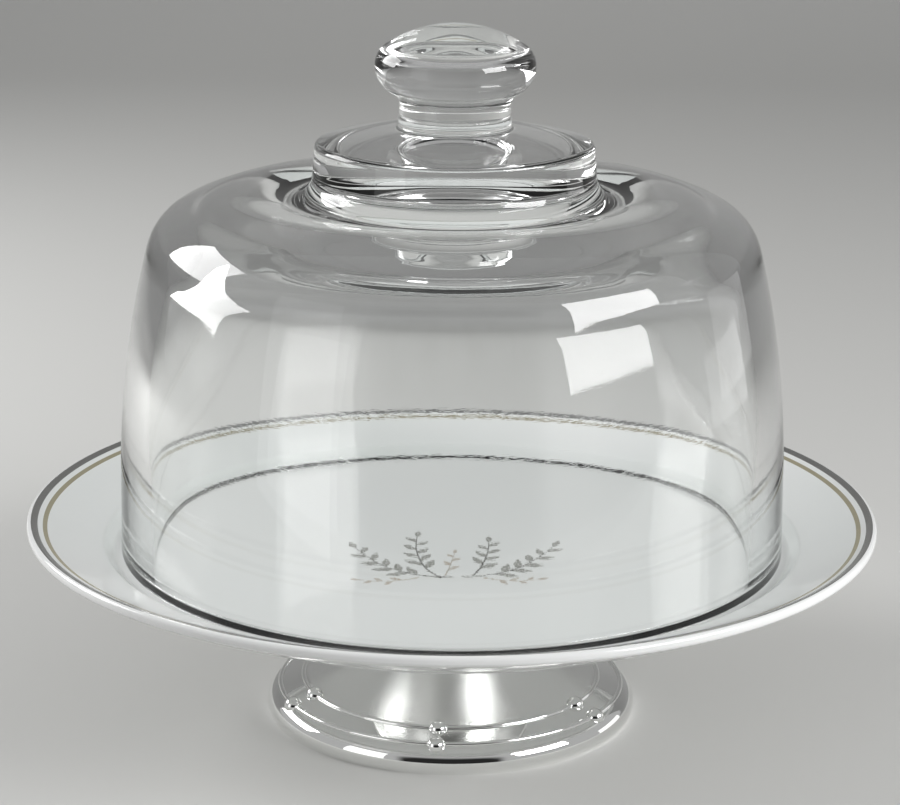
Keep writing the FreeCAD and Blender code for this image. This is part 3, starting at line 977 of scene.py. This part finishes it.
@dataclass(frozen=True)
class Branch:
    """One stem of the spray: a bent line with leaves at its sides."""

    root: Point
    bend: Point
    tip: Point
    leaves: int
    leaf_length: float

    def spot(self, share: float) -> Vector:
        """Return the place at a share of the way along, in millimetres."""
        first = Vector(self.root).lerp(Vector(self.bend), share)
        return first.lerp(Vector(self.bend).lerp(Vector(self.tip), share), share)

    def heading(self, share: float) -> float:
        """Return the direction of growth at a share of the way along."""
        way = self.spot(share + 0.01) - self.spot(share - 0.01)
        return math.atan2(way.y, way.x)


@dataclass
class LeafSpray:
    """The printed sprig in the middle of the plate, a plain leafy garland."""

    floor: float = 55.78
    lift: float = 0.01
    film: float = 0.04
    stem_width: float = 0.75
    stem_steps: int = 16
    stem_taper: float = 0.65
    leaf_width: float = 0.42
    leaf_taper: float = 0.35
    leaf_angle: float = 0.75
    leafy: Point = (0.30, 0.96)
    leaf_tip: float = 0.98
    tip_size: float = 0.7
    thin: float = 0.6
    branches: tuple[Branch, ...] = (
        Branch((1.0, -35.0), (-20.0, -36.0), (-31.0, -9.0), 9, 8.2),
        Branch((-3.0, -35.5), (-13.0, -24.0), (-11.0, 3.0), 8, 7.8),
        Branch((3.0, -34.5), (22.0, -34.0), (33.0, -6.0), 9, 8.2),
        Branch((6.0, -34.8), (12.0, -22.0), (12.0, -2.0), 7, 7.4),
    )
    tan_branches: tuple[Branch, ...] = (
        Branch((-2.0, -34.0), (0.0, -24.0), (1.0, -14.0), 4, 4.6),
        Branch((-10.0, -35.5), (-18.0, -41.0), (-28.0, -38.0), 4, 4.8),
        Branch((10.0, -35.0), (18.0, -40.0), (27.0, -36.0), 4, 4.8),
    )
    leaf_finish: Print = Print((0.27, 0.27, 0.25))
    stem_finish: Print = Print((0.15, 0.145, 0.14))
    tan_finish: Print = Print((0.50, 0.43, 0.36))

    def leaf(self, mesh: bmesh.types.BMesh, spot: Vector, heading: float,
             length: float) -> None:
        """Add one pointed leaf that grows from a spot.

        Args:
            mesh: The mesh that it joins.
            spot: Where it grows from, in millimetres.
            heading: Its direction.
            length: Its length in millimetres.
        """
        made = bmesh.ops.create_circle(mesh, cap_ends=True, segments=14, radius=1.0)
        for vert in made["verts"]:
            vert.co.y *= self.leaf_width * (1.0 - 0.45 * abs(vert.co.x)) * (1.0 - 0.2 * vert.co.x)
            vert.co.x += 1.0
        half = length / 2 * MM
        place = Matrix.Translation((spot.x * MM, spot.y * MM, (self.floor + self.lift) * MM))
        turn = Matrix.Rotation(heading, 4, "Z") @ Matrix.Diagonal((half, half, half, 1.0))
        bmesh.ops.transform(mesh, matrix=place @ turn, verts=made["verts"])

    def stem(self, mesh: bmesh.types.BMesh, branch: Branch, width: float) -> None:
        """Add the tapering line of one branch.

        Args:
            mesh: The mesh that it joins.
            branch: The branch.
            width: Width of the line at its root.
        """
        height = (self.floor + self.lift) * MM
        edges = []
        for index in range(self.stem_steps + 1):
            share = index / self.stem_steps
            side = Vector((-math.sin(branch.heading(share)), math.cos(branch.heading(share))))
            reach = side * width * (1.0 - self.stem_taper * share) / 2
            ends = [branch.spot(share) + reach, branch.spot(share) - reach]
            if not edges:
                verts = [mesh.verts.new((*(end * MM), height)) for end in ends]
                edges = [mesh.edges.new(verts)]
                continue
            made = bmesh.ops.extrude_edge_only(mesh, edges=edges)["geom"]
            verts = [part for part in made if isinstance(part, bmesh.types.BMVert)]
            for vert, end in zip(verts, ends):
                vert.co = (*(end * MM), height)
            edges = [part for part in made if isinstance(part, bmesh.types.BMEdge)
                     and set(part.verts) == set(verts)]

    def print(self, mesh: bmesh.types.BMesh, name: str, finish: Print) -> bpy.types.Object:
        """Give flat shapes the thickness of a print and make them a piece.

        Args:
            mesh: The flat shapes.
            name: Name of the piece.
            finish: Its finish.

        Returns:
            The piece.
        """
        bmesh.ops.recalc_face_normals(mesh, faces=mesh.faces)
        for face in mesh.faces:
            if face.normal.z < 0.0:
                face.normal_flip()
        made = bmesh.ops.extrude_face_region(mesh, geom=mesh.faces[:], use_keep_orig=True)
        top = [part for part in made["geom"] if isinstance(part, bmesh.types.BMVert)]
        bmesh.ops.translate(mesh, verts=top, vec=(0.0, 0.0, self.film * MM))
        bmesh.ops.recalc_face_normals(mesh, faces=mesh.faces)
        piece = finished(mesh, name, finish.material(name))
        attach(piece, "root")
        return piece

    def grow(self, branches: Sequence[Branch], leaves: bmesh.types.BMesh,
             stems: bmesh.types.BMesh, width: float) -> None:
        """Add branches with a leaf at each step and one at the tip.

        Args:
            branches: The branches.
            leaves: The mesh that the leaves join.
            stems: The mesh that the stems join.
            width: Width of each stem at its root.
        """
        for branch in branches:
            self.stem(stems, branch, width)
            for index in range(branch.leaves):
                share = self.leafy[0] + (self.leafy[1] - self.leafy[0]) * index / branch.leaves
                lean = self.leaf_angle if index % 2 else -self.leaf_angle
                length = branch.leaf_length * (1.0 - self.leaf_taper * share)
                self.leaf(leaves, branch.spot(share), branch.heading(share) + lean, length)
            self.leaf(leaves, branch.spot(self.leaf_tip), branch.heading(self.leaf_tip),
                      branch.leaf_length * self.tip_size)

    def build(self) -> list[bpy.types.Object]:
        """Print the sprig.

        Returns:
            One piece for each ink.
        """
        leaves, stems, tan = bmesh.new(), bmesh.new(), bmesh.new()
        self.grow(self.tan_branches, tan, tan, self.stem_width * self.thin)
        self.grow(self.branches, leaves, stems, self.stem_width)
        return [self.print(tan, "sprig_tan", self.tan_finish),
                self.print(leaves, "sprig_leaves", self.leaf_finish),
                self.print(stems, "sprig_stems", self.stem_finish)]


@dataclass(frozen=True)
class Lamp:
    """A soft box or a white card, placed round the object by its direction.

    Azimuth 0 is towards the camera and 90 to its right, in degrees.
    """

    name: str
    azimuth: float
    elevation: float
    distance: float
    size: Point
    radiance: float

    def build(self) -> None:
        """Hang the lamp, facing the dome."""
        turn, rise = math.radians(self.azimuth), math.radians(self.elevation)
        aim = Vector((math.sin(turn) * math.cos(rise), -math.cos(turn) * math.cos(rise),
                      math.sin(rise)))
        data = bpy.data.lights.new(self.name, "AREA")
        data.shape = "RECTANGLE"
        data.size, data.size_y = self.size
        data.energy = self.radiance * math.pi * self.size[0] * self.size[1]
        lamp = bpy.data.objects.new(self.name, data)
        place = Vector((0.0, 0.0, 0.15)) + aim * self.distance
        lamp.matrix_world = Matrix.LocRotScale(place, aim.to_track_quat("Z", "Y"), None)
        bpy.context.scene.collection.objects.link(lamp)


@dataclass
class Studio:
    """A pale paper sweep, soft boxes, white cards and the photograph's camera."""

    paper: Colour = (0.57, 0.57, 0.555)
    # painted light: a lighter paper tone and the height of its soft step, painted on the upright
    # sweep in place of the light that falls there
    painted_lit_paper: Colour = (0.66, 0.66, 0.655)
    painted_light_rise: Point = (60.0, 110.0)
    front: float = -0.30
    back: float = 1.3
    bend: float = 0.9
    half_width: float = 2.5
    wall: float = 2.4
    focal: float = 107.13
    place: tuple[float, float, float] = (0.0, -0.8163, 0.3319)
    pitch: float = 15.74
    yaw: float = 0.06
    roll: float = 0.45
    room: float = 0.42
    dark: float = 0.02
    lamps: tuple[Lamp, ...] = (
        Lamp("right_soft_box", 59.0, 19.5, 1.10, (0.68, 0.36), 13.5),
        Lamp("left_soft_box", -113.0, 23.0, 1.10, (0.66, 0.52), 8.6),
        Lamp("left_card", -52.0, 0.0, 1.20, (0.56, 1.00), 0.85),
        Lamp("right_card", 112.0, -2.0, 1.20, (0.50, 0.30), 0.8),
    )

    def camera(self) -> None:
        """Place the camera that the photograph was taken with."""
        data = bpy.data.cameras.new("studio_camera")
        data.lens = self.focal
        data.sensor_width = 36.0
        camera = bpy.data.objects.new("studio_camera", data)
        turn = Matrix.Rotation(math.radians(self.yaw), 4, "Z")
        tilt = Matrix.Rotation(math.radians(90.0 - self.pitch), 4, "X")
        roll = Matrix.Rotation(math.radians(self.roll), 4, "Z")
        camera.matrix_world = Matrix.Translation(self.place) @ turn @ tilt @ roll
        bpy.context.scene.collection.objects.link(camera)
        bpy.context.scene.camera = camera

    def sweep(self) -> None:
        """Lay the paper on the table and up behind it, painted lighter with height as painted
        light.
        """
        mesh = bmesh.new()
        left = mesh.verts.new((-self.half_width, self.front, 0.0))
        right = mesh.verts.new((self.half_width, self.front, 0.0))
        edges = [mesh.edges.new((left, right))]
        for move in ((0.0, self.back - self.front, 0.0), (0.0, 0.0, self.wall)):
            made = bmesh.ops.extrude_edge_only(mesh, edges=edges)
            verts = [part for part in made["geom"] if isinstance(part, bmesh.types.BMVert)]
            edges = [part for part in made["geom"] if isinstance(part, bmesh.types.BMEdge)
                     and all(vert in verts for vert in part.verts)]
            bmesh.ops.translate(mesh, verts=verts, vec=move)
            if move[2] == 0.0:
                made = bmesh.ops.spin(mesh, geom=edges + verts, steps=24,
                                      cent=(0.0, self.back, self.bend),
                                      axis=(1.0, 0.0, 0.0), angle=math.pi / 2)
                edges = [part for part in made["geom_last"]
                         if isinstance(part, bmesh.types.BMEdge)]
        bmesh.ops.recalc_face_normals(mesh, faces=mesh.faces)
        recipe = Recipe("paper")
        # painted light: the paper's colour steps softly from the floor tone to a lighter tone with
        # height, round 60 mm up, standing in for how the light falls on the sweep
        share = recipe.place()[2].above(*self.painted_light_rise)
        colour = recipe.blend(share, solid(self.paper), solid(self.painted_lit_paper))
        recipe.set(Base_Color=colour, Roughness=0.9, Specular_IOR_Level=0.2)
        paper = finished(mesh, "paper_sweep", recipe.material)

    def world(self) -> None:
        """Fill the room with soft grey light, dark round the camera."""
        world = bpy.data.worlds.new("studio_room")
        world.use_nodes = True
        room = Graph(world.node_tree)
        towards = room.node("ShaderNodeTexCoord", {}, {}).out("Generated")
        apart = room.node("ShaderNodeSeparateXYZ", {}, {0: towards})
        front = (0 - apart.out("Y")).above(0.80, 0.08)
        level = apart.out("Z").within(-0.40, 0.50, 0.12)
        side = apart.out("X").within(-0.50, 0.52, 0.06)
        colour = room.blend(front * level * side, solid((self.room,) * 3),
                            solid((self.dark,) * 3))
        background = world.node_tree.nodes["Background"]
        world.node_tree.links.new(colour.socket, background.inputs["Color"])
        bpy.context.scene.world = world

    def build(self) -> None:
        """Set up the studio."""
        self.camera()
        self.sweep()
        self.world()
        for lamp in self.lamps:
            lamp.build()
        bpy.context.scene.view_settings.view_transform = "Standard"


def main() -> None:
    """Build the part and its studio."""
    logging.basicConfig(level=logging.INFO, format="%(asctime)s %(name)s: %(message)s")
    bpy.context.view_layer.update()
    solids = [maker.build() for maker in (Pedestal(), Plate(), GlassDome())]
    for piece in solids + LeafSpray().build():
        LOG.info("%s: %d faces", piece.name, len(piece.data.polygons))
    Studio().build()


if __name__ == "__main__":
    main()
